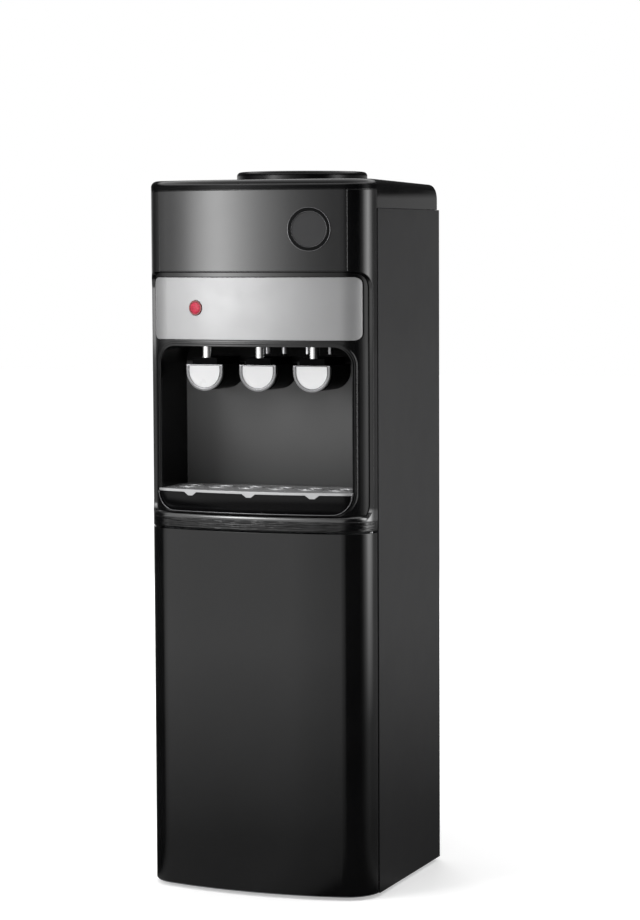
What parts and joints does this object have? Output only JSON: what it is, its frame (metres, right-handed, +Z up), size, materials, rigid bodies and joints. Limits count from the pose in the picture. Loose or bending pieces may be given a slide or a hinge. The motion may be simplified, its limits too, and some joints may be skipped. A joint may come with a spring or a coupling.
{
  "type": "water dispenser",
  "caption": "Free-standing top-loading water dispenser with paddle taps in a niche, drip tray and storage cabinet.",
  "frame": {"origin": "centre of the footprint on the floor", "axes": "+Z up, -Y out of the front, +X to the right of someone facing the taps"},
  "size_m": [0.344, 0.3366, 1.025],
  "materials": {
    "black_gloss": "gloss moulded ABS",
    "charcoal_paint": "satin powder coat on steel sheet",
    "charcoal_plastic": "semi-gloss moulded ABS",
    "panel_gloss": "gloss metallic grey panel",
    "silver_paint": "satin silver paint on plastic",
    "chrome_trim": "bright chrome plating on plastic",
    "silver_grille": "satin silver paint on moulded plastic",
    "silver_disc": "dark satin inlay",
    "white_insert": "gloss white insert",
    "red_lens": "clear red lens, unlit",
    "dark_red_rim": "gloss dark red rim",
    "steel": "plain steel",
    "stainless": "drawn stainless steel",
    "grey_plastic": "matt moulded plastic",
    "liner_grey": "pale grey vacuum-formed liner",
    "rubber": "black rubber",
    "galvanised": "galvanised steel sheet",
    "foam": "expanded foam",
    "copper": "copper",
    "silicone": "translucent silicone tube",
    "rocker_red": "red rocker key",
    "rocker_green": "green rocker key"
  },
  "bodies": {
    "cabinet": {"base_plate": "galvanised", "cabinet_liner": "liner_grey", "cabinet_shelf": "steel", "catch_magnet": "rubber", "cold_tank": "stainless", "compressor": "charcoal_paint", "compressor_cover": "grey_plastic", "compressor_mounts": "rubber", "condenser": "charcoal_paint", "condenser_clips": "grey_plastic", "dispensing_niche": "black_gloss", "door_hinge_pins": "steel", "drain_outlet": "grey_plastic", "evaporator_jacket": "copper", "feet": "rubber", "filter_drier": "copper", "front_fascia": "black_gloss", "hot_tank": "stainless", "hot_tank_jacket": "foam", "hot_tank_stand": "galvanised", "indicator_bezel": "dark_red_rim", "indicator_lens": "red_lens", "medallion_disc": "silver_disc", "medallion_ring": "black_gloss", "middle_deck": "galvanised", "power_inlet": "rubber", "rear_panel": "galvanised", "refrigerant_pipes": "copper", "screws": "steel", "side_panel_left": "charcoal_paint", "side_panel_right": "charcoal_paint", "silver_band": "silver_paint", "switch_housings": "grey_plastic", "tank_baffle": "grey_plastic", "tank_insulation": "foam", "tap_nozzles": "grey_plastic", "tap_pins": "steel", "tap_shrouds": "black_gloss", "tap_springs": "steel", "tap_stems": "stainless", "thermostats": "grey_plastic", "top_cover": "black_gloss", "upper_panel": "panel_gloss", "water_tubes": "silicone"},
    "door": {"door_shell": "charcoal_plastic", "door_liner": "liner_grey", "door_gasket": "rubber", "catch_plate": "steel"},
    "tray": {"drip_tray": "black_gloss"},
    "grille": {"drip_grille": "silver_grille"},
    "seat": {"bottle_seat": "black_gloss"},
    "tap_hot": {"tap_paddle_hot": "chrome_trim", "paddle_face_hot": "white_insert"},
    "tap_normal": {"tap_paddle_normal": "chrome_trim", "paddle_face_normal": "white_insert"},
    "tap_cold": {"tap_paddle_cold": "chrome_trim", "paddle_face_cold": "white_insert"},
    "switch_hot": {"rocker_hot": "rocker_red"},
    "switch_cold": {"rocker_cold": "rocker_green"},
    "cap": {"drain_cap": "grey_plastic"}
  },
  "joints": [
    {"name": "door_hinge", "type": "hinge", "parent": "cabinet", "child": "door", "pos_m": [0.165, -0.1178, 0.262], "axis": [0, 0, 1], "range_deg": [0, 115]},
    {"name": "tray_slide", "type": "slide", "parent": "cabinet", "child": "tray", "axis": [0, -1, 0], "range_m": [0, 0.112]},
    {"name": "grille_lift", "type": "slide", "parent": "tray", "child": "grille", "axis": [0, 0, 1], "range_m": [0, 0.06]},
    {"name": "bottle_seat_lift", "type": "slide", "parent": "cabinet", "child": "seat", "axis": [0, 0, 1], "range_m": [0, 0.12]},
    {"name": "tap_hot_press", "type": "hinge", "parent": "cabinet", "child": "tap_hot", "pos_m": [-0.082, -0.1218, 0.744], "axis": [1, 0, 0], "range_deg": [0, 12], "stiffness_Nm_per_rad": 0.4, "springref_deg": -8.59},
    {"name": "tap_normal_press", "type": "hinge", "parent": "cabinet", "child": "tap_normal", "pos_m": [0, -0.1218, 0.744], "axis": [1, 0, 0], "range_deg": [0, 12], "stiffness_Nm_per_rad": 0.4, "springref_deg": -8.59},
    {"name": "tap_cold_press", "type": "hinge", "parent": "cabinet", "child": "tap_cold", "pos_m": [0.082, -0.1218, 0.744], "axis": [1, 0, 0], "range_deg": [0, 12], "stiffness_Nm_per_rad": 0.4, "springref_deg": -8.59},
    {"name": "switch_hot_rock", "type": "hinge", "parent": "cabinet", "child": "switch_hot", "pos_m": [-0.112, 0.1478, 0.942], "axis": [1, 0, 0], "range_deg": [0, 16]},
    {"name": "switch_cold_rock", "type": "hinge", "parent": "cabinet", "child": "switch_cold", "pos_m": [-0.078, 0.1478, 0.942], "axis": [1, 0, 0], "range_deg": [0, 16]},
    {"name": "drain_cap_pull", "type": "slide", "parent": "cabinet", "child": "cap", "axis": [0, 1, 0], "range_m": [0, 0.03]}
  ]
}
